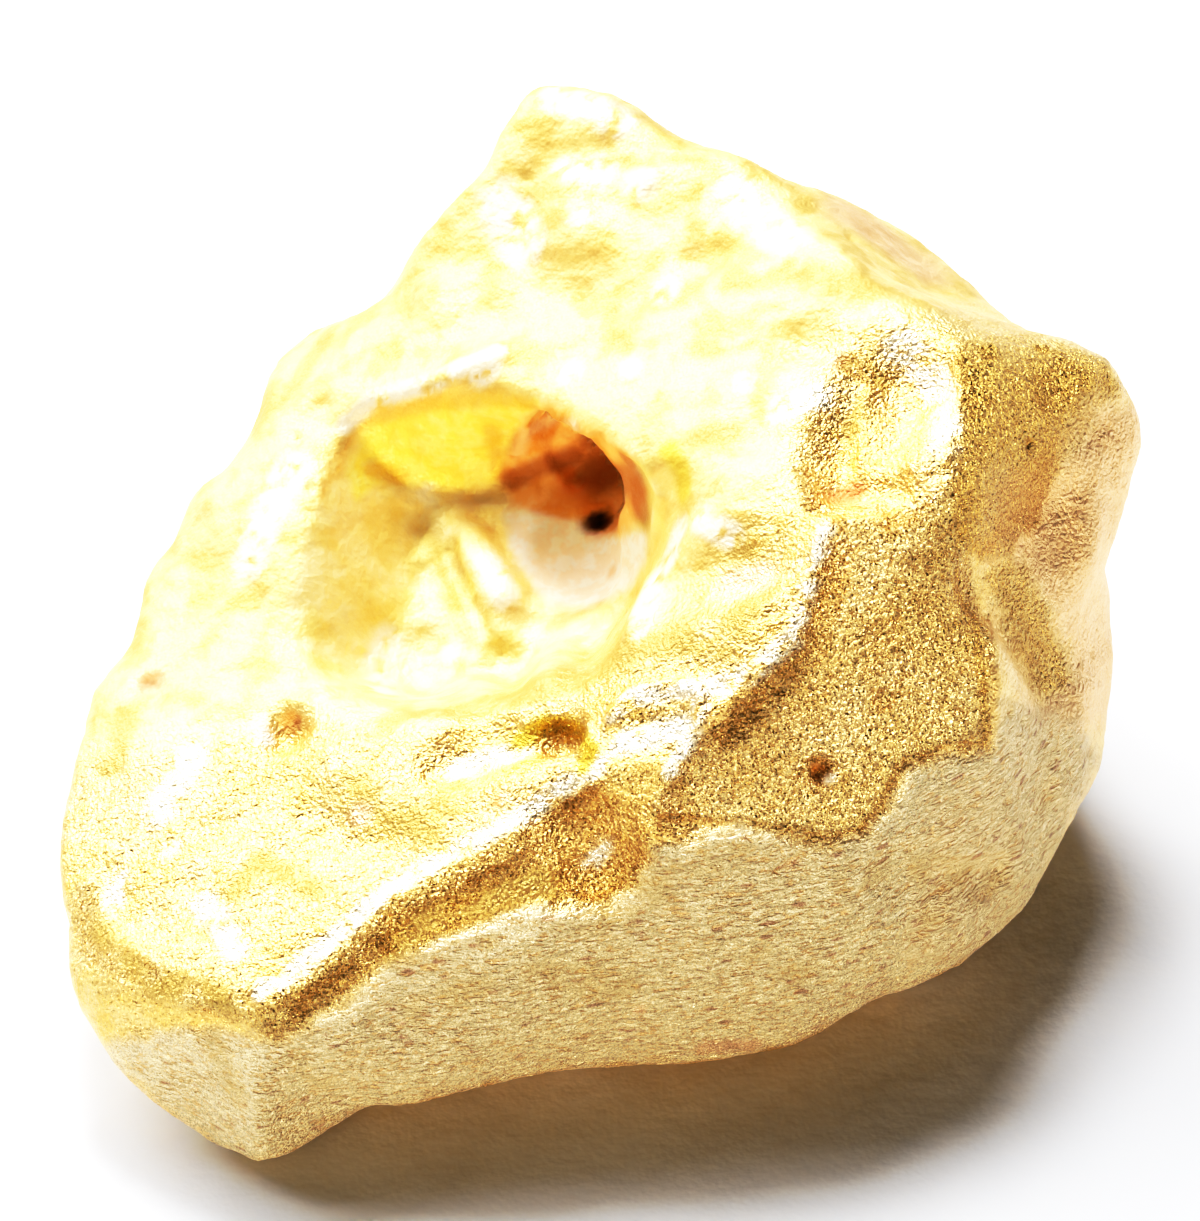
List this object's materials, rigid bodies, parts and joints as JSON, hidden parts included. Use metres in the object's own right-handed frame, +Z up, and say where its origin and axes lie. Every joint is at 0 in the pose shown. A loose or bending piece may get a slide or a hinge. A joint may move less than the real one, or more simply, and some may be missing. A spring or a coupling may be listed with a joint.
{
  "type": "gold nugget",
  "caption": "Rounded natural gold nugget with a large pit, smaller hollows and a worn flat under it that it rests on.",
  "frame": {"origin": "middle of the nugget's bounding box, on the ground it rests on", "axes": "+Z up; -Y to the front, the side with the rough facet below the large pit; +X to the right as seen from the front"},
  "size_m": [0.0216, 0.021, 0.0123],
  "materials": {
    "native_gold": "natural gold with a worn satin surface, brown and pink iron stains in the pockets of the pit"
  },
  "bodies": {
    "root": {"gold_nugget": "native_gold"}
  },
  "joints": []
}
